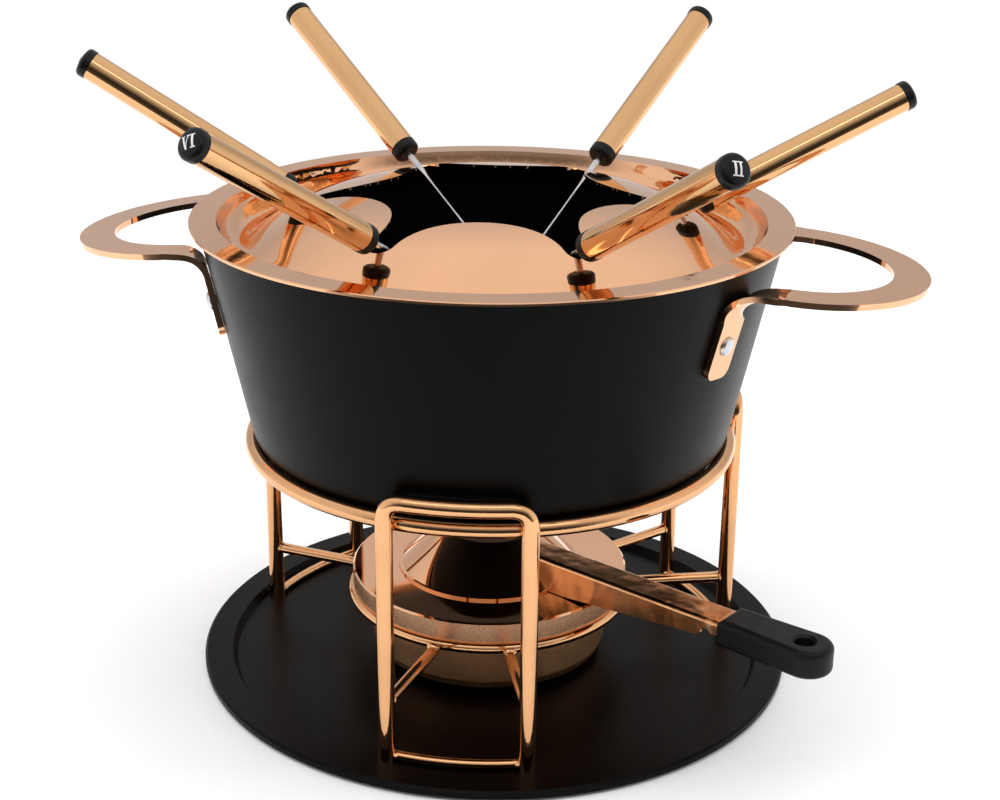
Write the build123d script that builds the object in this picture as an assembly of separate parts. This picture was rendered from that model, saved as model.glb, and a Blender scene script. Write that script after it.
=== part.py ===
from build123d import *
import math
import os

# Fondue pot set: tray, wire stand, spirit burner with snuffer, pot, fork guide, six forks.
# Millimetres. +Z is up, z = 0 is the table under the tray, the Z axis is the axis of stand and pot,
# +X points through the right loop handle and -Y is the front.

# ---- tray ----
TRAY_R = 104.0
TRAY_OFFSET_X = 2.2          # the stand stands a little to one side of the tray's middle
TRAY_SHEET = 1.0
TRAY_RECESS_R = 92.6
TRAY_RIM_Z = 3.7
TRAY_LIP_Z = 1.2

# ---- stand ----
WIRE_R = 2.75
RING_R = 82.0
RING_Z = 82.7
LEG_R = 87.4
LEG_HALF_ANGLE = 15.0
LEG_ANGLES = {"front": -87.9, "right": 31.3, "left": 151.3}
LEG_TOP_Z = 91.75
LEG_BEND = 7.0
FOOT_WIRE_R = 1.5
FOOT_BAR_R = 86.4
ROD_R = 1.95
ROD_Z = 21.2
HOLDER_R = 48.3
HOLDER_Z = 23.3
HOLDER_WIRE_R = 1.9

# ---- burner and snuffer ----
PAN_R = 41.5
PAN_FLOOR_Z = 2.5
PAN_CORNER = 4.0
FLANGE_R = 48.4
FLANGE_Z = HOLDER_Z + HOLDER_WIRE_R + 0.02
COVER_R = 48.65
COVER_TOP_Z = 32.7
COVER_HOLE_R = 27.0
SHEET = 0.8
WOOL_R = 39.9
WOOL_TOP_Z = 17.0
CAP_BASE_R = 32.4
CAP_TOP_R = 17.0
CAP_H = 14.8
HANDLE_ANGLE = -31.3
CHANNEL_TOP_Z = 44.6
CHANNEL_W = 12.0
CHANNEL_END = 113.0
SKIRT_END = 95.0
GRIP_START = 101.0
GRIP_END = 138.5
GRIP_START_W = 13.6
GRIP_W = 16.4
GRIP_TOP_Z = 46.2
GRIP_H = 9.6
HANG_HOLE_U = 129.0
HANG_HOLE_R = 3.2

# ---- pot ----
POT_BASE_Z = 78.65
POT_BASE_R = 68.5
POT_CORNER = 14.0
POT_SLOPE = 12.0
POT_RIM_Z = 159.8
POT_WALL = 2.2

# ---- loop handles ----
LOOP_TOP_Z = 148.9           # top of the strap at LOOP_LEVEL_X; from there it droops outward
LOOP_LEVEL_X = 126.0
LOOP_DROOP = {1: 4.0, -1: 5.5}
LOOP_TURN = -3.0             # the line through both loops is turned a little from the X axis
LOOP_SHEET = 2.0
LOOP_W = 11.8
LOOP_CENTRE_X = 101.0
LOOP_R = 37.0
TAB_ANGLE = {1: 28.0, -1: 23.5}
TAB_LEAN = 6.0
TAB_ABOVE = 8.3
TAB_BELOW = 11.3
RIVET_Z = 135.4
RIVET_R = 1.6
RIVET_HEAD_R = 3.2

# ---- fork guide ----
GUIDE_R = 100.0
GUIDE_TOP_Z = 160.8
GUIDE_SHEET = 1.0
GUIDE_RIM_IN = 91.0
GROOVE_R = 76.9              # edge of the dome; a rounded groove lies between it and the rim
GROOVE_LOW_R = 85.7
GROOVE_LOW_Z = 152.4
DOME_RISE = 7.7
DOME_EDGE_DROP = 13.4        # how far the dome has fallen at its edge
LOBE_PITCH_R = 68.3
LOBE_R = 29.6
THROAT_R = 60.2
SLOT_END_R = 4.56
SLOT_ANGLE = 4.7

# ---- forks: slot, sideways shift in the slot, turn away from radial, tilt above level ----
FORKS = {
    "fork_1": (0, -0.7, 14.5, 25.7),
    "fork_2": (5, -1.2, 4.5, 29.1),
    "fork_3": (1, -0.4, -4.1, 33.8),
    "fork_4": (2, 0.5, 16.8, 33.5),
    "fork_5": (3, 0.1, 2.1, 32.2),
    "fork_6": (4, 1.0, -5.9, 31.3),
}
FORK_SEAT_R = 64.5
FORK_SEAT_Z = 164.5
FORK_SEAT_GAP = 3.5
SHANK_R = 0.75
NECK_R = 1.2
NECK_LEN = 8.0
SHANK_LEN = 140.0
TINE_LEN = 22.0
TINE_SPREAD = 4.2
FORK_HANDLE_R = 4.65
FERRULE_LEN = 4.0
TUBE_LEN = 72.0
TUBE_WALL = 0.6
CAP_R = 4.9
CAP_LEN = 3.0
CAP_CROWN = 1.1


def place(solid, name):
    os.makedirs("parts", exist_ok=True)
    solid.label = name
    export_step(solid, "parts/" + name + ".step")


def polar(radius, angle, z=0.0):
    a = math.radians(angle)
    return Vector(radius * math.cos(a), radius * math.sin(a), z)


def ring_of_wire(radius, z, wire):
    return Pos(0, 0, z) * Torus(radius, wire)


def turned(points):
    """Turn a closed polygon of (radius, z) corners about the Z axis."""
    corners = [(r, 0, z) for r, z in points]
    return revolve(make_face(Polyline(*corners, close=True)), Axis.Z, 360)


# ------------------------------------------------------------------ tray
def make_tray():
    t = TRAY_SHEET
    wall = 1.6
    lip = 1.0
    body = turned([
        (0, 0),
        (TRAY_RECESS_R + 0.9, 0),
        (TRAY_RECESS_R + wall + 0.6, TRAY_RIM_Z - t),
        (TRAY_R - lip - 0.5, TRAY_RIM_Z - t),
        (TRAY_R - lip, TRAY_RIM_Z - t - 0.5),
        (TRAY_R - lip, TRAY_LIP_Z),
        (TRAY_R, TRAY_LIP_Z),
        (TRAY_R, TRAY_RIM_Z - 0.8),
        (TRAY_R - 0.8, TRAY_RIM_Z),
        (TRAY_RECESS_R + wall, TRAY_RIM_Z),
        (TRAY_RECESS_R, t),
        (0, t),
    ])
    return Pos(TRAY_OFFSET_X, 0, 0) * body


# ------------------------------------------------------------------ stand
def leg_wire(angle):
    """Path of one inverted U: up one post, over a bar that follows the ring, down the other."""
    low = TRAY_SHEET
    bend_z = LEG_TOP_Z - LEG_BEND
    bend_angle = math.degrees(LEG_BEND / LEG_R)
    a0 = angle - LEG_HALF_ANGLE
    a1 = angle + LEG_HALF_ANGLE
    b0 = a0 + bend_angle
    b1 = a1 - bend_angle
    up = Vector(0, 0, 1)
    start = polar(1, b0 + 90)
    end = polar(1, b1 + 90)
    post_up = Line(polar(LEG_R, a0, low), polar(LEG_R, a0, bend_z))
    corner_up = Spline(polar(LEG_R, a0, bend_z), polar(LEG_R, b0, LEG_TOP_Z), tangents=(up, start))
    bar = ThreePointArc(
        polar(LEG_R, b0, LEG_TOP_Z),
        polar(LEG_R, angle, LEG_TOP_Z),
        polar(LEG_R, b1, LEG_TOP_Z),
    )
    corner_down = Spline(polar(LEG_R, b1, LEG_TOP_Z), polar(LEG_R, a1, bend_z), tangents=(end, -up))
    post_down = Line(polar(LEG_R, a1, bend_z), polar(LEG_R, a1, low))
    return Wire([post_up.edge(), corner_up.edge(), bar.edge(), corner_down.edge(), post_down.edge()])


def make_leg(angle, ring):
    path = leg_wire(angle)
    foot = polar(LEG_R, angle - LEG_HALF_ANGLE, TRAY_SHEET)
    section = Plane(origin=foot, z_dir=(0, 0, 1)) * Circle(WIRE_R)
    return sweep(section, path=path) - ring


def make_foot_bars(legs):
    bars = []
    for angle in LEG_ANGLES.values():
        start = polar(FOOT_BAR_R, angle - LEG_HALF_ANGLE, TRAY_SHEET + FOOT_WIRE_R)
        middle = polar(FOOT_BAR_R, angle, TRAY_SHEET + FOOT_WIRE_R)
        end = polar(FOOT_BAR_R, angle + LEG_HALF_ANGLE, TRAY_SHEET + FOOT_WIRE_R)
        path = ThreePointArc(start, middle, end)
        section = Plane(origin=start, z_dir=polar(1, angle - LEG_HALF_ANGLE + 90)) * Circle(FOOT_WIRE_R)
        bar = sweep(section, path=path)
        for leg in legs:
            bar = bar - leg
        bars.append(largest(bar))
    return Compound(children=bars)


def largest(shape):
    return max(shape.solids(), key=lambda s: s.volume)


def make_rods(legs, holder):
    rods = []
    for angle in LEG_ANGLES.values():
        for side in (-1, 1):
            a = angle + side * LEG_HALF_ANGLE
            length = LEG_R - HOLDER_R
            plane = Plane(origin=polar(HOLDER_R, a, ROD_Z), z_dir=polar(1, a))
            rod = extrude(plane * Circle(ROD_R), length) - holder
            for leg in legs:
                rod = rod - leg
            rods.append(largest(rod))
    return Compound(children=rods)


# ------------------------------------------------------------------ burner
def make_pan():
    r = PAN_R
    z = PAN_FLOOR_Z
    c = PAN_CORNER
    k = c * (1 - math.sqrt(0.5))
    s = SHEET
    cup = turned([
        (0, z),
        (r - c, z),
        (r - k, z + k),
        (r, z + c),
        (r, FLANGE_Z),
        (FLANGE_R, FLANGE_Z),
        (FLANGE_R, FLANGE_Z + s),
        (r - s, FLANGE_Z + s),
        (r - s, z + c),
        (r - k - 0.56, z + k + 0.56),
        (r - c, z + s),
        (0, z + s),
    ])
    return cup


def make_cover():
    low = FLANGE_Z + SHEET
    top = COVER_TOP_Z
    r = COVER_R
    return turned([
        (COVER_HOLE_R, top - SHEET),
        (r - SHEET - 0.4, top - SHEET),
        (r - SHEET, top - SHEET - 0.4),
        (r - SHEET, low),
        (r, low),
        (r, top - 0.6),
        (r - 0.6, top),
        (COVER_HOLE_R, top),
    ])


def make_wool():
    low = PAN_FLOOR_Z + SHEET
    return Pos(0, 0, low + 1.5) * Cylinder(WOOL_R - 1.5, WOOL_TOP_Z - low - 1.5,
                                           align=(Align.CENTER, Align.CENTER, Align.MIN))


def make_gauze():
    return Pos(0, 0, WOOL_TOP_Z) * Cylinder(WOOL_R, 0.6, align=(Align.CENTER, Align.CENTER, Align.MIN))


# ------------------------------------------------------------------ snuffer
def cap_solid(shrink):
    """The filled outside shape of the snuffer cap."""
    z = COVER_TOP_Z
    return turned([
        (0, z),
        (CAP_BASE_R - shrink, z),
        (CAP_BASE_R - shrink, z + SHEET),
        (CAP_BASE_R - 1.2 - shrink, z + SHEET),
        (CAP_TOP_R - shrink, z + CAP_H - shrink),
        (0, z + CAP_H - shrink),
    ])


def make_cap():
    z = COVER_TOP_Z
    t = 1.1
    return turned([
        (CAP_BASE_R, z + 0.02),
        (CAP_BASE_R, z + SHEET),
        (CAP_BASE_R - 1.2, z + SHEET),
        (CAP_TOP_R, z + CAP_H),
        (0, z + CAP_H),
        (0, z + CAP_H - SHEET),
        (CAP_TOP_R - 0.4, z + CAP_H - SHEET),
        (CAP_BASE_R - 1.2 - t, z + 0.02),
    ])


def make_channel():
    w = CHANNEL_W / 2
    top = CHANNEL_TOP_Z
    low = COVER_TOP_Z + 0.3
    side = Polyline(
        (16, 0, top),
        (CHANNEL_END, 0, top),
        (CHANNEL_END, 0, top - 4.6),
        (SKIRT_END, 0, top - 4.6),
        (SKIRT_END - 2, 0, top - 6.6),
        (38, 0, low),
        (16, 0, low),
        close=True,
    )
    outer = extrude(make_face(side), w, both=True)
    top_edges = outer.edges().filter_by(Axis.X).group_by(Axis.Z)[-1]
    outer = fillet(top_edges, 1.3)
    inside = Pos(70, 0, top - SHEET - 10) * Box(120, CHANNEL_W - 2 * SHEET, 20)
    notch = Pos(SKIRT_END + 1.2, 0, top - 5.2) * Rot(90, 0, 0) * Cylinder(1.9, CHANNEL_W + 2)
    channel = Rot(0, 0, HANDLE_ANGLE) * (outer - inside - notch)
    return largest(channel - cap_solid(0.0))


def make_grip():
    r = GRIP_W / 2
    outline = make_hull([
        *(Pos(GRIP_START + 0.5, 0) * Rectangle(1, GRIP_START_W)).edges(),
        *(Pos(GRIP_END - r, 0) * Circle(r)).edges(),
    ])
    block = extrude(Pos(0, 0, GRIP_TOP_Z - GRIP_H) * outline, GRIP_H)
    rims = block.faces().filter_by(Axis.Z)
    block = fillet([e for f in rims for e in f.edges()], 2.0)
    pocket = Pos((GRIP_START + CHANNEL_END) / 2 - 1, 0, CHANNEL_TOP_Z - 3.1) * Box(
        CHANNEL_END - GRIP_START + 2.2, CHANNEL_W + 0.1, 6.3)
    hole = Pos(HANG_HOLE_U, 0, GRIP_TOP_Z - GRIP_H / 2) * Cylinder(HANG_HOLE_R, GRIP_H + 4)
    mouths = Pos(HANG_HOLE_U, 0, GRIP_TOP_Z - 0.4) * Cone(HANG_HOLE_R, HANG_HOLE_R + 0.9, 0.9)
    return Rot(0, 0, HANDLE_ANGLE) * (block - pocket - hole - mouths)


# ------------------------------------------------------------------ pot
def wall_radius(z):
    """Outside radius of the pot's sloping wall."""
    a = math.radians(POT_SLOPE)
    touch_r = POT_BASE_R + POT_CORNER * math.cos(a)
    touch_z = POT_BASE_Z + POT_CORNER - POT_CORNER * math.sin(a)
    return touch_r + (z - touch_z) * math.tan(a)


def pot_line(offset):
    """Half profile of the pot at a depth inside its outer skin, from the axis to the rim."""
    a = math.radians(POT_SLOPE)
    c = POT_CORNER - offset
    cz = POT_BASE_Z + POT_CORNER
    mid = math.radians(-90 + (90 - POT_SLOPE) / 2)
    floor = Line((0, 0, cz - c), (POT_BASE_R, 0, cz - c))
    touch = (POT_BASE_R + c * math.cos(a), 0, cz - c * math.sin(a))
    corner = ThreePointArc(
        (POT_BASE_R, 0, cz - c),
        (POT_BASE_R + c * math.cos(mid), 0, cz + c * math.sin(mid)),
        touch,
    )
    rim_r = wall_radius(POT_RIM_Z) - offset / math.cos(a)
    wall = Line(touch, (rim_r, 0, POT_RIM_Z))
    return floor, corner, wall


def make_pot():
    outer = pot_line(0.0)
    inner = pot_line(POT_WALL)
    rim = Line(outer[2] @ 1, inner[2] @ 1)
    axis = Line(outer[0] @ 0, inner[0] @ 0)
    face = make_face([*outer, rim, *inner, axis])
    body = revolve(face, Axis.Z, 360)
    rims = body.edges().group_by(Axis.Z)[-1]
    body = fillet(rims, 0.7)
    for side in (1, -1):
        for hand in (1, -1):
            body -= rivet_frame(tab_angle(side, hand)) * Cylinder(RIVET_R, 16)
    return body


def pot_filled():
    """The pot's outside shape without a hollow, a hair larger so that the handles only touch it."""
    outer = pot_line(-0.02)
    lid = Line(outer[2] @ 1, (0, 0, POT_RIM_Z))
    axis = Line((0, 0, POT_RIM_Z), outer[0] @ 0)
    return revolve(make_face([*outer, lid, axis]), Axis.Z, 360)


def rivet_frame(angle):
    """Plane square to the pot's wall at a rivet, z outward along the rivet."""
    a = math.radians(POT_SLOPE)
    n = polar(math.cos(a), angle, -math.sin(a))
    along = polar(1, angle + 90)
    return Plane(origin=polar(wall_radius(RIVET_Z), angle, RIVET_Z), x_dir=along, z_dir=n).location


def tab_angle(side, hand):
    """Angle about the Z axis of one tab: side 1 right, -1 left; hand 1 or -1 along the loop."""
    return (0 if side > 0 else 180) + LOOP_TURN + hand * TAB_ANGLE[side]


def make_half_loop(side):
    """Half of a loop handle that points along +X: half the strap, then a bend, then the tab.

    The strap droops outward. The bend swings sideways as it turns down, so that the tab lies
    flat on the wall with its fold slantwise.
    """
    half = LOOP_W / 2
    strap_frame = Pos(LOOP_LEVEL_X, 0, LOOP_TOP_Z) * Rot(0, LOOP_DROOP[side], 0) * Pos(-LOOP_LEVEL_X, 0, 0)
    tab_frame = rivet_frame(-TAB_ANGLE[side]) * Pos(0, 0, LOOP_SHEET / 2 + 0.03) * Rot(0, 0, -TAB_LEAN)

    quarter = Pos(LOOP_R, -LOOP_R) * Rectangle(2 * LOOP_R, 2 * LOOP_R)
    outline = Pos(LOOP_CENTRE_X, 0) * ((Circle(LOOP_R + half) - Circle(LOOP_R - half)) & quarter)
    strap = strap_frame * extrude(outline, -LOOP_SHEET)

    length = TAB_ABOVE + TAB_BELOW
    outline = Pos(0, (TAB_ABOVE - TAB_BELOW) / 2) * Rectangle(LOOP_W, length)
    outline = fillet(outline.vertices().group_by(Axis.Y)[0], 3.5)
    tab = tab_frame * extrude(outline, LOOP_SHEET / 2, both=True)

    start = strap_frame * Pos(LOOP_CENTRE_X, -LOOP_R, -LOOP_SHEET / 2)
    ahead = strap_frame * Pos(LOOP_CENTRE_X - 8, -LOOP_R, -LOOP_SHEET / 2)
    above = tab_frame * Pos(0, TAB_ABOVE + 7, 0)
    end = tab_frame * Pos(0, TAB_ABOVE, 0)
    path = Bezier(start.position, ahead.position, above.position, end.position)
    across_start = Plane(start).y_dir
    across_end = Plane(end).x_dir
    sections = []
    for t in (0, 0.2, 0.4, 0.6, 0.8, 1):
        along = path % t
        blend = t * t * (3 - 2 * t)
        across = across_start * (1 - blend) + across_end * blend
        across = across - along * across.dot(along)
        plane = Plane(origin=path @ t, x_dir=across, z_dir=along)
        sections.append(plane * Rectangle(LOOP_W, LOOP_SHEET))
    return strap + (loft(sections) + tab)


def make_loop(side):
    half = make_half_loop(side)
    loop = half + mirror(half, Plane.XZ) - pot_filled()
    for hand in (-1, 1):
        loop -= rivet_frame(hand * TAB_ANGLE[side]) * Cylinder(RIVET_R, 16)
    return Rot(0, 0, (0 if side > 0 else 180) + LOOP_TURN) * loop


def make_rivet(angle):
    outer = LOOP_SHEET + 0.05
    inner = POT_WALL + 0.08
    head_r = RIVET_HEAD_R
    shank = RIVET_R - 0.02
    profile = turned([
        (0, -inner - 1.0),
        (head_r - 0.3, -inner - 1.0),
        (head_r, -inner - 0.6),
        (head_r, -inner),
        (shank, -inner),
        (shank, outer),
        (head_r, outer),
        (head_r, outer + 0.3),
        (head_r - 0.6, outer + 0.9),
        (head_r - 1.6, outer + 1.3),
        (0, outer + 1.5),
    ])
    return rivet_frame(angle) * profile


# ------------------------------------------------------------------ fork guide
def dome_z(r):
    """Height of the dome's top skin: nearly flat in the middle, steeper toward its edge."""
    share = r / GROOVE_R
    return GUIDE_TOP_Z + DOME_RISE - DOME_EDGE_DROP * (0.02 * share ** 2 + 0.98 * share ** 4)


def dome_line(depth):
    stations = (0, 22, 40, 54, 66, GROOVE_R)
    slope = DOME_EDGE_DROP * (0.04 + 3.92) / GROOVE_R
    return Spline(*[(r, 0, dome_z(r) - depth) for r in stations], tangents=((1, 0, 0), (1, 0, -slope)))


def groove_line(depth):
    """Line of the groove between dome and rim, at a depth below its top skin."""
    slope = DOME_EDGE_DROP * (0.04 + 3.92) / GROOVE_R
    start = (GROOVE_R, 0, dome_z(GROOVE_R) - depth)
    low = (GROOVE_LOW_R + 0.1 * depth, 0, GROOVE_LOW_Z - depth)
    rise = (GUIDE_RIM_IN - 1.3 + 0.85 * depth, 0, GROOVE_LOW_Z + 3.8 - 0.35 * depth)
    end = (GUIDE_RIM_IN + 0.9 * depth, 0, GUIDE_TOP_Z - depth)
    return Spline(start, low, rise, end, tangents=((1, 0, -slope), (0.35, 0, 1)))


def make_guide():
    t = GUIDE_SHEET
    top = dome_line(0)
    under = dome_line(t)
    groove = groove_line(0)
    groove_under = groove_line(t)
    rim = Polyline(
        groove @ 1,
        (GUIDE_R - 0.3, 0, GUIDE_TOP_Z),
        (GUIDE_R, 0, GUIDE_TOP_Z - 0.3),
        (GUIDE_R, 0, GUIDE_TOP_Z - t),
        groove_under @ 1,
    )
    axis = Line(top @ 0, under @ 0)
    section = make_face([top, groove, *rim.edges(), groove_under, under, axis])
    plate = revolve(section, Axis.Z, 360)
    hole = Circle(THROAT_R)
    for k in range(6):
        hole += Pos(*polar(THROAT_R, SLOT_ANGLE + 60 * k)) * Circle(SLOT_END_R)
    for k in range(6):
        hole -= Pos(*polar(LOBE_PITCH_R, SLOT_ANGLE + 30 + 60 * k)) * Circle(LOBE_R)
    middle = max(hole.faces(), key=lambda f: f.area)
    return plate - extrude(Pos(0, 0, GUIDE_TOP_Z - 20) * middle, 50)


# ------------------------------------------------------------------ forks
def fork_frame(name):
    """Local frame of a fork: origin where the shank crosses the slot's end, z towards the cap."""
    slot, shift, turn, tilt = FORKS[name]
    angle = SLOT_ANGLE + 60 * slot
    seat = polar(FORK_SEAT_R, angle, FORK_SEAT_Z) + polar(shift, angle + 90)
    level = math.cos(math.radians(tilt))
    axis = polar(level, angle + turn, math.sin(math.radians(tilt)))
    across = polar(1, angle + turn + 90)
    return Plane(origin=seat, x_dir=across, z_dir=axis).location


def make_shank():
    start = FORK_SEAT_GAP + 9.0
    neck = TINE_LEN + 6.0 - SHANK_LEN
    thin = FORK_SEAT_GAP - NECK_LEN - 4
    rod = turned([
        (0, neck - 0.5),
        (SHANK_R, neck - 0.5),
        (SHANK_R, thin),
        (NECK_R, thin + 4),
        (NECK_R, start),
        (0, start),
    ])
    half = TINE_SPREAD / 2
    width = 0.8
    tip = FORK_SEAT_GAP - SHANK_LEN
    crotch = tip + TINE_LEN
    blade = Polyline(
        (-SHANK_R * 0.9, 0, neck),
        (SHANK_R * 0.9, 0, neck),
        (half + width, 0, crotch + 2),
        (half + width, 0, tip + 3),
        (half, 0, tip),
        (half - width, 0, tip + 3),
        (half - width, 0, crotch),
        (width - half, 0, crotch),
        (width - half, 0, tip + 3),
        (-half, 0, tip),
        (-half - width, 0, tip + 3),
        (-half - width, 0, crotch + 2),
        close=True,
    )
    return rod + extrude(make_face(blade), 0.7, both=True)


def make_ferrule():
    low = FORK_SEAT_GAP
    r = FORK_HANDLE_R
    plug = r - TUBE_WALL
    bore = NECK_R
    return turned([
        (bore, low),
        (r - 1.3, low),
        (r - 0.5, low + 0.3),
        (r, low + 0.9),
        (r + 0.1, low + 1.6),
        (r + 0.1, low + FERRULE_LEN),
        (plug, low + FERRULE_LEN),
        (plug, low + FERRULE_LEN + 6),
        (bore, low + FERRULE_LEN + 6),
    ])


def make_tube():
    low = FORK_SEAT_GAP + FERRULE_LEN
    r = FORK_HANDLE_R
    return turned([(r - TUBE_WALL, low), (r, low), (r, low + TUBE_LEN), (r - TUBE_WALL, low + TUBE_LEN)])


def make_fork_cap():
    low = FORK_SEAT_GAP + FERRULE_LEN + TUBE_LEN
    plug = FORK_HANDLE_R - TUBE_WALL
    cap = turned([
        (0, low - 6),
        (plug, low - 6),
        (plug, low),
        (CAP_R, low),
        (CAP_R, low + CAP_LEN),
        (0, low + CAP_LEN + CAP_CROWN),
    ])
    shoulder = cap.edges().filter_by(GeomType.CIRCLE).group_by(Axis.Z)[-1]
    return fillet(shoulder, 1.6)


# ------------------------------------------------------------------ build and write
ring = ring_of_wire(RING_R, RING_Z, WIRE_R)
holder = ring_of_wire(HOLDER_R, HOLDER_Z, HOLDER_WIRE_R)
legs = {name: make_leg(angle, ring) for name, angle in LEG_ANGLES.items()}

place(make_tray(), "tray")
place(ring, "stand_ring")
for name, leg in legs.items():
    place(leg, "stand_leg_" + name)
place(make_foot_bars(legs.values()), "stand_foot_bars")
place(make_rods(legs.values(), holder), "stand_rods")
place(holder, "burner_ring")

place(make_pan(), "burner_pan")
place(make_cover(), "burner_cover")
place(make_wool(), "burner_wool")
place(make_gauze(), "burner_gauze")
place(make_cap(), "snuffer_cap")
place(make_channel(), "snuffer_channel")
place(make_grip(), "snuffer_grip")

place(make_pot(), "pot")
place(make_loop(1), "loop_right")
place(make_loop(-1), "loop_left")
for side, word in ((1, "right"), (-1, "left")):
    rivets = [make_rivet(tab_angle(side, hand)) for hand in (1, -1)]
    place(Compound(children=rivets), "rivets_" + word)
place(make_guide(), "fork_guide")

for name in FORKS:
    frame = fork_frame(name)
    place(frame * make_shank(), name + "_shank")
    place(frame * make_ferrule(), name + "_ferrule")
    place(frame * make_tube(), name + "_tube")
    place(frame * make_fork_cap(), name + "_cap")
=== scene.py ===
import bpy
import bmesh
import math
from mathutils import Matrix, Vector, noise


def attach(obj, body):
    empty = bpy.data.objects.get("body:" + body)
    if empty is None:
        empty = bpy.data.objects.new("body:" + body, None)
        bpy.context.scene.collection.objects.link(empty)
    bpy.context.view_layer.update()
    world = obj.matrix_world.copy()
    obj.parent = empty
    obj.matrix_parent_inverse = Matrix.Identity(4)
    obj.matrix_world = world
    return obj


# Fondue pot set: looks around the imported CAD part. Metres, z = 0 is the table, -Y is the front.
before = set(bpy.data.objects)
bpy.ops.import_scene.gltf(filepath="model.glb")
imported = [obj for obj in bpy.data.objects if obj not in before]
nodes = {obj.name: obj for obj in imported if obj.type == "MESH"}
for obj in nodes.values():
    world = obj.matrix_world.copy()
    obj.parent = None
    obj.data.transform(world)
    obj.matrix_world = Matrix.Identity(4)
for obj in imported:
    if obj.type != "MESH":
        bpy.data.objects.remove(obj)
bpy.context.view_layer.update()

MM = 0.001
FORKS = {
    "fork_1": "I",
    "fork_2": "II",
    "fork_3": "III",
    "fork_4": "IV",
    "fork_5": "V",
    "fork_6": "VI",
}


# ------------------------------------------------------------------ material helpers
class Shader:
    """A node material with a Principled surface and object-space procedural inputs."""

    def __init__(self, name):
        self.material = bpy.data.materials.new(name)
        self.material.use_nodes = True
        self.tree = self.material.node_tree
        self.surface = self.tree.nodes["Principled BSDF"]
        self.place = self.tree.nodes.new("ShaderNodeTexCoord")

    def add(self, kind, **settings):
        node = self.tree.nodes.new(kind)
        for key, value in settings.items():
            setattr(node, key, value)
        return node

    def join(self, source, target):
        self.tree.links.new(source, target)

    def set(self, **values):
        for key, value in values.items():
            self.surface.inputs[key.replace("_", " ")].default_value = value

    def noise(self, scale, detail=2.0, stretch=(1, 1, 1), roughness=0.5):
        mapping = self.add("ShaderNodeMapping")
        mapping.inputs["Scale"].default_value = stretch
        self.join(self.place.outputs["Object"], mapping.inputs["Vector"])
        texture = self.add("ShaderNodeTexNoise")
        texture.inputs["Scale"].default_value = scale
        texture.inputs["Detail"].default_value = detail
        texture.inputs["Roughness"].default_value = roughness
        self.join(mapping.outputs["Vector"], texture.inputs["Vector"])
        return texture.outputs["Fac"]

    def rings(self, scale, around):
        """Noise that changes quickly with height and radius and slowly round the Z axis."""
        split = self.add("ShaderNodeSeparateXYZ")
        self.join(self.place.outputs["Object"], split.inputs["Vector"])
        radius = self.add("ShaderNodeVectorMath", operation="LENGTH")
        flat = self.add("ShaderNodeCombineXYZ")
        self.join(split.outputs["X"], flat.inputs["X"])
        self.join(split.outputs["Y"], flat.inputs["Y"])
        self.join(flat.outputs["Vector"], radius.inputs[0])
        angle = self.math("ARCTAN2", split.outputs["Y"], split.outputs["X"])
        slow = self.math("MULTIPLY", angle, around / scale)
        joined = self.add("ShaderNodeCombineXYZ")
        self.join(slow, joined.inputs["X"])
        self.join(radius.outputs["Value"], joined.inputs["Y"])
        self.join(split.outputs["Z"], joined.inputs["Z"])
        texture = self.add("ShaderNodeTexNoise")
        texture.inputs["Scale"].default_value = scale
        texture.inputs["Detail"].default_value = 2.0
        self.join(joined.outputs["Vector"], texture.inputs["Vector"])
        return texture.outputs["Fac"]

    def math(self, operation, a, b=None):
        node = self.add("ShaderNodeMath", operation=operation)
        for socket, value in zip(node.inputs, (a, b)):
            if isinstance(value, (int, float)):
                socket.default_value = value
            elif value is not None:
                self.join(value, socket)
        return node.outputs["Value"]

    def span(self, value, low, high, start=0.3, end=0.7):
        node = self.add("ShaderNodeMapRange")
        self.join(value, node.inputs["Value"])
        node.inputs["From Min"].default_value = start
        node.inputs["From Max"].default_value = end
        node.inputs["To Min"].default_value = low
        node.inputs["To Max"].default_value = high
        return node.outputs["Result"]

    def ramp(self, value, *stops):
        node = self.add("ShaderNodeValToRGB")
        elements = node.color_ramp.elements
        while len(elements) < len(stops):
            elements.new(0.5)
        for element, (position, colour) in zip(elements, stops):
            element.position = position
            element.color = (*colour, 1.0)
        self.join(value, node.inputs["Fac"])
        return node.outputs["Color"]

    def colour(self, socket):
        self.join(socket, self.surface.inputs["Base Color"])

    def roughness(self, socket):
        self.join(socket, self.surface.inputs["Roughness"])

    def bump(self, height, distance, strength=1.0, under=None):
        node = self.add("ShaderNodeBump")
        node.inputs["Distance"].default_value = distance
        node.inputs["Strength"].default_value = strength
        self.join(height, node.inputs["Height"])
        if under is not None:
            self.join(under, node.inputs["Normal"])
        self.join(node.outputs["Normal"], self.surface.inputs["Normal"])
        return node.outputs["Normal"]


def tone(colour, factor):
    """The colour made lighter or darker, and no part of it above one."""
    return tuple(min(1.0, c * factor) for c in colour)


ROSE = (0.90, 0.50, 0.29)
GOLD = (0.84, 0.45, 0.22)
TUBE_GOLD = (0.76, 0.44, 0.21)
THREAD_WAVE = 5200              # radians per metre of the sine that draws the threads


def polished_copper(name, base, low=0.03, high=0.085):
    """Plated sheet or tube: close to a mirror, with faint smudges."""
    s = Shader(name)
    s.set(Metallic=1.0)
    s.colour(s.ramp(s.noise(28, 4), (0.3, tone(base, 0.94)), (0.7, tone(base, 1.03))))
    smudge = s.noise(55, 6, roughness=0.65)
    s.roughness(s.span(smudge, low, high))
    s.bump(s.noise(160, 2), 0.00004, 0.6)
    return s.material


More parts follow.
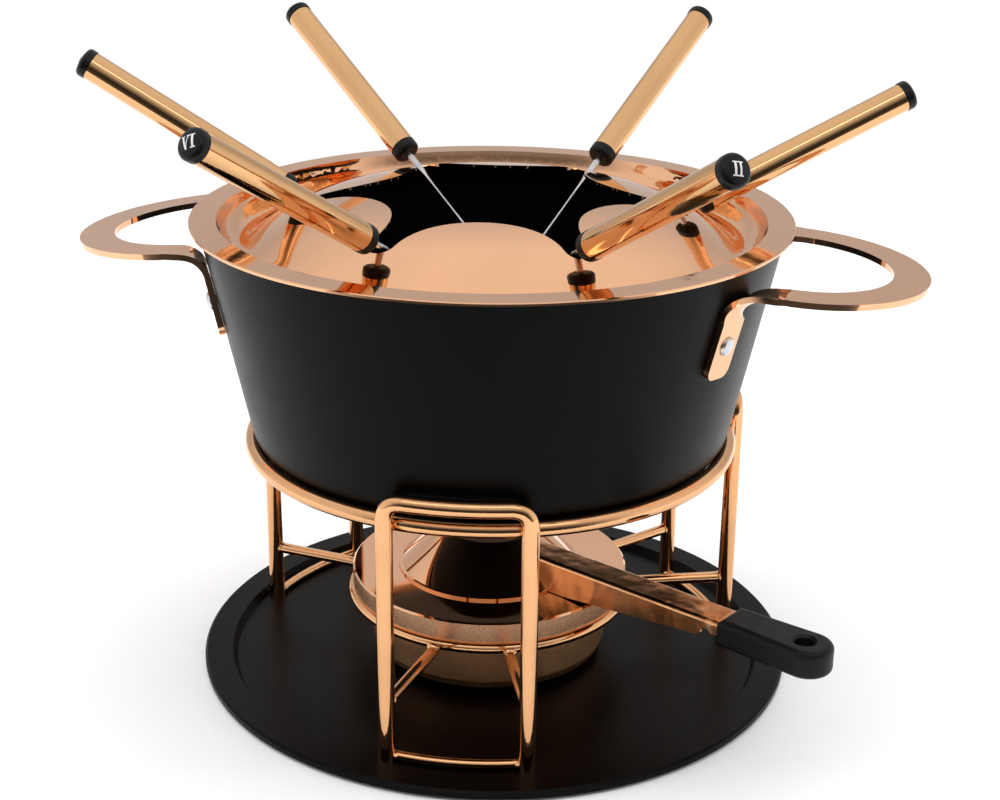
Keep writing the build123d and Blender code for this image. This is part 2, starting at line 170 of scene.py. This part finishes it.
def pressed_copper(name, base):
    """Polished sheet with the shallow waves that pressing and bending leave in it."""
    s = Shader(name)
    s.set(Metallic=1.0)
    s.colour(s.ramp(s.noise(40, 4), (0.3, tone(base, 0.92)), (0.7, tone(base, 1.04))))
    s.roughness(s.span(s.noise(70, 6, roughness=0.65), 0.15, 0.26))
    under = s.bump(s.noise(75, 2, stretch=(1, 1, 0.4)), 0.0012, 0.8)
    s.bump(s.noise(320, 2), 0.00006, 0.6, under)
    return s.material


def drawn_wire(name, base):
    """Plated wire: polished, with the faint unevenness of the plating."""
    s = Shader(name)
    s.set(Metallic=1.0)
    s.colour(s.ramp(s.noise(60, 5), (0.3, tone(base, 0.92)), (0.7, tone(base, 1.04))))
    s.roughness(s.span(s.noise(220, 5), 0.05, 0.13))
    under = s.bump(s.noise(420, 3), 0.00006, 0.5)
    s.bump(s.noise(2200, 2), 0.00001, 0.5, under)
    return s.material


def spun_copper(name, base):
    """Pressed sheet: mirror-smooth where it lies flat, brushed round the upright band."""
    s = Shader(name)
    s.set(Metallic=1.0)
    shape = s.add("ShaderNodeNewGeometry")
    split = s.add("ShaderNodeSeparateXYZ")
    s.join(shape.outputs["Normal"], split.inputs["Vector"])
    upright = s.span(s.math("ABSOLUTE", split.outputs["Z"]), 1.0, 0.0, 0.25, 0.6)
    lines = s.rings(5200, 26)
    fine = s.rings(9000, 90)
    s.colour(s.ramp(s.math("MULTIPLY", lines, upright), (0.2, base), (0.6, tone(base, 0.86))))
    smooth = s.span(s.noise(60, 5), 0.03, 0.08)
    grain = s.math("MULTIPLY", upright, s.span(fine, 0.16, 0.3))
    s.roughness(s.math("ADD", smooth, grain))
    s.bump(s.math("MULTIPLY", lines, upright), 0.00007, 0.7)
    return s.material


def satin_copper(name, base):
    """The burner's pan: drawn sheet with fine lines round it."""
    s = Shader(name)
    s.set(Metallic=1.0)
    lines = s.rings(3600, 14)
    s.colour(s.ramp(lines, (0.35, tone(base, 0.9)), (0.65, tone(base, 1.1))))
    s.roughness(s.span(s.noise(90, 5), 0.34, 0.44))
    s.bump(lines, 0.00004, 0.6)
    return s.material


def black_coat(name, base, rough, grain, level):
    """Satin black coating with a fine stipple."""
    s = Shader(name)
    s.set(Specular_IOR_Level=level)
    s.colour(s.ramp(s.noise(35, 5), (0.3, tone(base, 0.8)), (0.7, tone(base, 1.25))))
    cloud = s.noise(24, 6, roughness=0.6)
    s.roughness(s.span(cloud, rough - 0.04, rough + 0.05))
    under = s.bump(s.noise(grain, 3), 0.00006, 0.5)
    s.bump(s.noise(grain * 4.3, 2), 0.000015, 0.5, under)
    return s.material


def moulded_black(name, base=(0.004, 0.004, 0.0043), rough=0.42):
    """Black plastic with a fine moulded grain."""
    s = Shader(name)
    s.set(Specular_IOR_Level=0.2)
    s.colour(s.ramp(s.noise(90, 4), (0.3, tone(base, 0.8)), (0.7, tone(base, 1.3))))
    s.roughness(s.span(s.noise(300, 4), rough - 0.05, rough + 0.07))
    s.bump(s.noise(2600, 2), 0.00002, 0.6)
    return s.material


def bright_steel(name, base=(0.62, 0.62, 0.62)):
    """Drawn steel wire, lightly brushed."""
    s = Shader(name)
    s.set(Metallic=1.0)
    s.colour(s.ramp(s.noise(200, 4), (0.3, tone(base, 0.9)), (0.7, tone(base, 1.06))))
    s.roughness(s.span(s.noise(900, 4), 0.16, 0.28))
    s.bump(s.noise(2400, 3), 0.00001, 0.6)
    return s.material


def rivet_metal(name):
    """Pale soft metal, a little dull from being struck."""
    s = Shader(name)
    s.set(Metallic=1.0)
    s.colour(s.ramp(s.noise(500, 4), (0.3, (0.56, 0.58, 0.6)), (0.7, (0.7, 0.71, 0.72))))
    s.roughness(s.span(s.noise(700, 4), 0.2, 0.34))
    s.bump(s.noise(1300, 3), 0.00003, 0.6)
    return s.material


def pressed_wool(name):
    """Pale pressed fibre."""
    s = Shader(name)
    fibres = s.noise(900, 8, stretch=(1, 1, 3), roughness=0.7)
    s.colour(s.ramp(fibres, (0.35, (0.42, 0.39, 0.33)), (0.65, (0.78, 0.75, 0.68))))
    s.roughness(s.span(fibres, 0.85, 1.0))
    s.bump(fibres, 0.0004, 0.8)
    return s.material


def woven_gauze(name):
    """Fine wire cloth: threads cross along X and Y."""
    s = Shader(name)
    s.set(Metallic=1.0)
    split = s.add("ShaderNodeSeparateXYZ")
    s.join(s.place.outputs["Object"], split.inputs["Vector"])
    threads_x = s.math("SINE", s.math("MULTIPLY", split.outputs["X"], THREAD_WAVE))
    threads_y = s.math("SINE", s.math("MULTIPLY", split.outputs["Y"], THREAD_WAVE))
    weave = s.math("MULTIPLY", threads_x, threads_y)
    s.colour(s.ramp(s.span(weave, 0, 1, -1, 1), (0.3, (0.16, 0.15, 0.14)), (0.7, (0.66, 0.64, 0.62))))
    s.roughness(s.span(s.noise(400, 4), 0.3, 0.45))
    s.bump(weave, 0.0002, 0.8)
    return s.material


def printed_white(name):
    """White print on plastic."""
    s = Shader(name)
    s.colour(s.ramp(s.noise(1200, 3), (0.3, (0.74, 0.74, 0.74)), (0.7, (0.86, 0.86, 0.86))))
    s.roughness(s.span(s.noise(2000, 2), 0.4, 0.6))
    return s.material


def paint(node, material):
    slots = nodes[node].data.materials
    slots.clear()
    slots.append(material)


copper_rose = polished_copper("copper_rose", ROSE)
copper_gold = polished_copper("copper_gold", TUBE_GOLD, 0.04, 0.11)
copper_wire = drawn_wire("copper_wire", GOLD)
copper_spun = spun_copper("copper_spun", ROSE)
copper_satin = satin_copper("copper_satin", GOLD)
tray_coat = black_coat("tray_coat", (0.0014, 0.0008, 0.0006), 0.32, 1500, 0.08)
pot_coat = black_coat("pot_coat", (0.0012, 0.0014, 0.0014), 0.34, 2100, 0.08)
plastic = moulded_black("grip_plastic")
cap_plastic = moulded_black("cap_plastic", (0.004, 0.005, 0.0055), 0.3)
steel = bright_steel("shank_steel")

paint("tray", tray_coat)
for name in ("stand_ring", "stand_leg_front", "stand_leg_right", "stand_leg_left",
             "stand_foot_bars", "stand_rods", "burner_ring"):
    paint(name, copper_wire)
paint("burner_pan", copper_satin)
paint("burner_cover", copper_spun)
paint("burner_wool", pressed_wool("pressed_wool"))
paint("burner_gauze", woven_gauze("woven_gauze"))
paint("snuffer_cap", copper_rose)
paint("snuffer_channel", pressed_copper("copper_pressed", GOLD))
paint("snuffer_grip", plastic)
paint("pot", pot_coat)
paint("loop_right", copper_rose)
paint("loop_left", copper_rose)
rivet = rivet_metal("rivet_metal")
paint("rivets_right", rivet)
paint("rivets_left", rivet)
paint("fork_guide", copper_rose)
for name in FORKS:
    paint(name + "_shank", steel)
    paint(name + "_ferrule", plastic)
    paint(name + "_tube", copper_gold)
    paint(name + "_cap", cap_plastic)


# ------------------------------------------------------------------ helpers for added pieces
def ride_new(name, mesh, material, body):
    """Make a visual piece from mesh code, in object coordinates, and let it ride on a body."""
    mesh.materials.append(material)
    piece = bpy.data.objects.new(name, mesh)
    bpy.context.scene.collection.objects.link(piece)
    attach(piece, body)
    return piece


def smooth(mesh):
    for face in mesh.polygons:
        face.use_smooth = True


# ------------------------------------------------------------------ numerals on the fork caps
FORK_SEATS = {
    "fork_1": (0, -0.7, 14.5, 25.7),
    "fork_2": (5, -1.2, 4.5, 29.1),
    "fork_3": (1, -0.4, -4.1, 33.8),
    "fork_4": (2, 0.5, 16.8, 33.5),
    "fork_5": (3, 0.1, 2.1, 32.2),
    "fork_6": (4, 1.0, -5.9, 31.3),
}
SLOT_ANGLE = 4.7
SEAT_R = 64.5 * MM
SEAT_Z = 164.5 * MM
CAP_TOP = 83.6 * MM             # crown of a cap, along its fork from the seat
NUMERAL_TURN = {"fork_1": 20, "fork_2": -12, "fork_3": 35, "fork_4": -15, "fork_5": 10, "fork_6": 27}
NUMERAL_H = 4.1 * MM
NUMERAL_REACH = 3.4 * MM        # most that a numeral spreads to one side of the cap's middle
NUMERAL_ROWS = 8
ABOVE_CAP = 3 * MM              # where the flat numeral starts before it is laid on the crown
PRINT_GAP = 0.05 * MM
STEM_WIDE = 0.31
STEM_THIN = 0.15
SERIF = 0.17


def fork_frame(name):
    """Matrix of a fork: origin at its seat in the guide, z along it towards the cap."""
    slot, shift, turn, tilt = FORK_SEATS[name]
    a = math.radians(SLOT_ANGLE + 60 * slot)
    b = a + math.radians(turn)
    t = math.radians(tilt)
    origin = Vector((SEAT_R * math.cos(a) - shift * MM * math.sin(a),
                     SEAT_R * math.sin(a) + shift * MM * math.cos(a), SEAT_Z))
    axis = Vector((math.cos(b) * math.cos(t), math.sin(b) * math.cos(t), math.sin(t)))
    across = Vector((-math.sin(b), math.cos(b), 0))
    up = axis.cross(across)
    if up.z < 0:
        across, up = -across, -up
    return Matrix((
        (across.x, up.x, axis.x, origin.x),
        (across.y, up.y, axis.y, origin.y),
        (across.z, up.z, axis.z, origin.z),
        (0, 0, 0, 1),
    ))


def stroke(low, high, wide):
    """Four corners of one stem, given the middle of its lower and upper end and its width."""
    half = wide / 2
    return [(low - half, -1.0), (low + half, -1.0), (high + half, 1.0), (high - half, 1.0)]


def serif(left, right, low, high):
    return [(left, low), (right, low), (right, high), (left, high)]


def numeral_strokes(text):
    """Quads of a serif numeral, from one unit below to one unit above its middle."""
    quads = []
    x = 0.0
    inner = 1 - SERIF
    for letter in text:
        if letter == "I":
            quads.append(stroke(x + 0.35, x + 0.35, STEM_WIDE))
            quads.append(serif(x - 0.05, x + 0.75, -1.0, -inner))
            quads.append(serif(x - 0.05, x + 0.75, inner, 1.0))
            x += 0.8
        else:
            quads.append(stroke(x + 0.72, x + 0.22, STEM_WIDE))
            quads.append(stroke(x + 0.72, x + 1.18, STEM_THIN))
            quads.append(serif(x - 0.05, x + 0.52, inner, 1.0))
            quads.append(serif(x + 0.9, x + 1.42, inner, 1.0))
            x += 1.48
    middle = (x - 0.08) / 2
    return [[(px - middle, py) for px, py in quad] for quad in quads]


def make_numeral(fork, text, material):
    place = fork_frame(fork)
    turned = place @ Matrix.Rotation(math.radians(NUMERAL_TURN[fork]), 4, "Z")
    quads = numeral_strokes(text)
    scale = NUMERAL_H / 2
    reach = max(abs(px) for quad in quads for px, py in quad) * scale
    scale *= min(1.0, NUMERAL_REACH / reach)
    bm = bmesh.new()
    for quad in quads:
        low_left, low_right, high_right, high_left = (Vector(corner) for corner in quad)
        rows = []
        for i in range(NUMERAL_ROWS + 1):
            row = []
            for across in (0, 0.5, 1):
                low = low_left.lerp(low_right, across)
                high = high_left.lerp(high_right, across)
                p = low.lerp(high, i / NUMERAL_ROWS)
                spot = Vector((p.x * scale, p.y * scale, CAP_TOP + ABOVE_CAP))
                row.append(bm.verts.new(turned @ spot))
            rows.append(row)
        for below, above in zip(rows, rows[1:]):
            for k in range(2):
                bm.faces.new((below[k], below[k + 1], above[k + 1], above[k]))
    mesh = bpy.data.meshes.new(fork + "_numeral")
    bm.to_mesh(mesh)
    bm.free()
    smooth(mesh)
    drop_on_cap(mesh, place, fork)
    ride_new(fork + "_numeral", mesh, material, fork)


def drop_on_cap(mesh, place, fork):
    """Lay the flat numeral on the cap's crown, a hair above it."""
    cap = nodes[fork + "_cap"]
    into = cap.matrix_world.inverted()
    axis = (place.to_3x3() @ Vector((0, 0, -1))).normalized()
    ray = (into.to_3x3() @ axis).normalized()
    for vertex in mesh.vertices:
        hit, where, normal, index = cap.ray_cast(into @ vertex.co, ray)
        if hit:
            vertex.co = cap.matrix_world @ (where - ray * PRINT_GAP)


white_print = printed_white("white_print")
for fork, text in FORKS.items():
    make_numeral(fork, text, white_print)


# ------------------------------------------------------------------ weld beads
LEGS = {"front": -87.9, "right": 31.3, "left": 151.3}
LEG_HALF_ANGLE = 15
FOOT_INWARD = 1.9               # degrees from a post to its bead on the foot bar
BEAD_SWELL = 0.16


def weld_bead(name, centre, normal, along, size, body):
    """A small solder mound: a flattened uneven blob, longer one way."""
    bm = bmesh.new()
    bmesh.ops.create_icosphere(bm, subdivisions=3, radius=1.0)
    normal = Vector(normal).normalized()
    along = Vector(along)
    along = (along - normal * along.dot(normal)).normalized()
    across = normal.cross(along)
    length, width, height = (value * MM for value in size)
    for vertex in bm.verts:
        p = vertex.co
        swell = 1 + BEAD_SWELL * noise.noise(p * 1.7 + Vector(centre) * 90)
        vertex.co = (Vector(centre) + along * p.x * length * swell + across * p.y * width * swell
                     + normal * p.z * height * swell)
    mesh = bpy.data.meshes.new(name)
    bm.to_mesh(mesh)
    bm.free()
    smooth(mesh)
    bead = ride_new(name, mesh, copper_wire, body)


def at(radius, angle, z):
    a = math.radians(angle)
    return Vector((radius * math.cos(a) * MM, radius * math.sin(a) * MM, z * MM))


for word, middle in LEGS.items():
    for hand in (-1, 1):
        angle = middle + hand * LEG_HALF_ANGLE
        out = at(1, angle, 0).normalized()
        round_way = at(1, angle + 90, 0).normalized()
        up = Vector((0, 0, 1))
        foot = at(86.5, angle - hand * FOOT_INWARD, 2.6)
        beads = (
            ("weld_ring_top_", at(84.9, angle, 84.6), up - out * 0.2, round_way, (2.3, 1.1, 0.9)),
            ("weld_ring_low_", at(84.9, angle, 80.9), -up - out * 0.2, round_way, (2.2, 1.0, 0.8)),
            ("weld_rod_", at(84.7, angle, 21.2), -out, up, (2.3, 2.3, 1.0)),
            ("weld_burner_ring_", at(50.4, angle, 22.6), out + up * 0.4, round_way, (2.3, 1.7, 1.1)),
            ("weld_foot_", foot, up, out, (1.9, 1.5, 1.2)),
        )
        tag = word + ("_a" if hand < 0 else "_b")
        for name, centre, normal, along, size in beads:
            weld_bead(name + tag, centre, normal, along, size, "stand")


# ------------------------------------------------------------------ floor, light, camera
VIEW_TURN = math.radians(8.5)    # the view is turned this far round the Z axis from straight ahead
VIEW_DOWN = math.radians(20.81)
VIEW_ROLL = 0.01092
CAMERA_PLACE = (0.0878, -0.5657, 0.3115)
CAMERA_LENS = 63.69
FLOOR_FRONT = -0.33
FLOOR_BACK = 0.75
FLOOR_HALF = 1.5


def make_floor():
    mesh = bpy.data.meshes.new("floor")
    corners = [(-FLOOR_HALF, FLOOR_FRONT), (FLOOR_HALF, FLOOR_FRONT),
               (FLOOR_HALF, FLOOR_BACK), (-FLOOR_HALF, FLOOR_BACK)]
    mesh.from_pydata([(x, y, 0) for x, y in corners], [], [(0, 1, 2, 3)])
    floor = bpy.data.objects.new("floor", mesh)
    bpy.context.scene.collection.objects.link(floor)
    floor.rotation_euler = (0, 0, VIEW_TURN)
    s = Shader("floor_white")
    s.set(Specular_IOR_Level=0.15)
    s.colour(s.ramp(s.noise(3, 2), (0.3, (0.86, 0.86, 0.86)), (0.7, (0.88, 0.88, 0.88))))
    s.roughness(s.span(s.noise(5, 2), 0.6, 0.7))
    mesh.materials.append(s.material)


def make_world():
    """A white studio: pale all round, dimmer behind low down, dark on the camera's side."""
    world = bpy.data.worlds.new("studio")
    bpy.context.scene.world = world
    world.use_nodes = True
    tree = world.node_tree
    new = tree.nodes.new
    link = tree.links.new
    background = tree.nodes["Background"]
    place = new("ShaderNodeTexCoord")
    turn = new("ShaderNodeMapping")
    turn.inputs["Rotation"].default_value = (0, 0, -VIEW_TURN)
    link(place.outputs["Generated"], turn.inputs["Vector"])
    split = new("ShaderNodeSeparateXYZ")
    link(turn.outputs["Vector"], split.inputs["Vector"])

    def levels(*stops):
        """Brightness against the sine of the elevation."""
        height = new("ShaderNodeMapRange")
        height.inputs["From Min"].default_value = -1.0
        link(split.outputs["Z"], height.inputs["Value"])
        node = new("ShaderNodeValToRGB")
        elements = node.color_ramp.elements
        while len(elements) < len(stops):
            elements.new(0.5)
        for element, (z, value) in zip(elements, stops):
            element.position = (z + 1) / 2
            element.color = (value, value, value, 1)
        link(height.outputs["Result"], node.inputs["Fac"])
        return node.outputs["Color"]

    back = levels((-1.0, 0.5), (-0.1, 0.75), (0.0, 0.6), (0.3, 0.55), (0.5, 0.75), (0.75, 0.95), (1.0, 0.95))
    side = levels((-1.0, 0.5), (-0.2, 0.9), (0.05, 0.95), (0.5, 0.85), (0.8, 0.9), (1.0, 0.95))
    front = levels((-1.0, 0.3), (-0.5, 0.1), (-0.1, 0.04), (0.12, 0.05), (0.35, 0.3), (0.6, 0.75),
                   (1.0, 0.95))
    facing = new("ShaderNodeVectorMath")
    facing.operation = "NORMALIZE"
    level = new("ShaderNodeCombineXYZ")
    link(split.outputs["X"], level.inputs["X"])
    link(split.outputs["Y"], level.inputs["Y"])
    link(level.outputs["Vector"], facing.inputs[0])
    flat = new("ShaderNodeSeparateXYZ")
    link(facing.outputs["Vector"], flat.inputs["Vector"])

    def blend(a, b, low, high):
        """From a to b as the direction turns from the front to the back."""
        amount = new("ShaderNodeMapRange")
        amount.interpolation_type = "SMOOTHSTEP"
        amount.inputs["From Min"].default_value = low
        amount.inputs["From Max"].default_value = high
        link(flat.outputs["Y"], amount.inputs["Value"])
        node = new("ShaderNodeMix")
        node.data_type = "RGBA"
        link(amount.outputs["Result"], node.inputs["Factor"])
        link(a, node.inputs["A"])
        link(b, node.inputs["B"])
        return node.outputs["Result"]

    front_to_side = blend(front, side, -0.85, -0.35)
    whole = blend(front_to_side, back, 0.3, 0.8)
    direct = new("ShaderNodeLightPath")
    seen = new("ShaderNodeMix")
    seen.data_type = "RGBA"
    link(direct.outputs["Is Camera Ray"], seen.inputs["Factor"])
    link(whole, seen.inputs["A"])
    seen.inputs["B"].default_value = (1, 1, 1, 1)
    link(seen.outputs["Result"], background.inputs["Color"])


def softbox(name, where, size, power, target=(0, 0, 0.1), mirrored=False):
    """A soft rectangular light, seen in the polished metal only where mirrored is true."""
    light = bpy.data.lights.new(name, "AREA")
    light.shape = "RECTANGLE"
    light.size, light.size_y = size
    light.energy = power
    lamp = bpy.data.objects.new(name, light)
    bpy.context.scene.collection.objects.link(lamp)
    turned = Matrix.Rotation(VIEW_TURN, 4, "Z")
    lamp.location = turned @ Vector(where)
    lamp.rotation_mode = "QUATERNION"
    aim = Vector(target) - lamp.location
    lamp.rotation_quaternion = aim.to_track_quat("-Z", "Y")
    lamp.visible_glossy = mirrored


def make_camera():
    data = bpy.data.cameras.new("camera")
    data.sensor_width = 36.0
    data.lens = CAMERA_LENS
    data.clip_start = 0.01
    camera = bpy.data.objects.new("camera", data)
    bpy.context.scene.collection.objects.link(camera)
    camera.location = CAMERA_PLACE
    turn = Matrix.Rotation(VIEW_TURN, 4, "Z") @ Matrix.Rotation(math.pi / 2 - VIEW_DOWN, 4, "X")
    camera.rotation_mode = "QUATERNION"
    camera.rotation_quaternion = (turn @ Matrix.Rotation(VIEW_ROLL, 4, "Z")).to_quaternion()
    bpy.context.scene.camera = camera


make_floor()
make_world()
softbox("top_light", (0.0, 0.25, 1.3), (2.2, 1.6), 15)
softbox("left_light", (-1.2, -0.1, 0.7), (0.45, 1.0), 4)
softbox("right_light", (1.2, 0.0, 0.7), (0.45, 1.0), 4)
softbox("strip_light", (0.0, -0.75, 1.15), (1.5, 0.10), 1.2, (0, 0, 0.15), mirrored=True)
make_camera()
bpy.context.scene.view_settings.view_transform = "Standard"
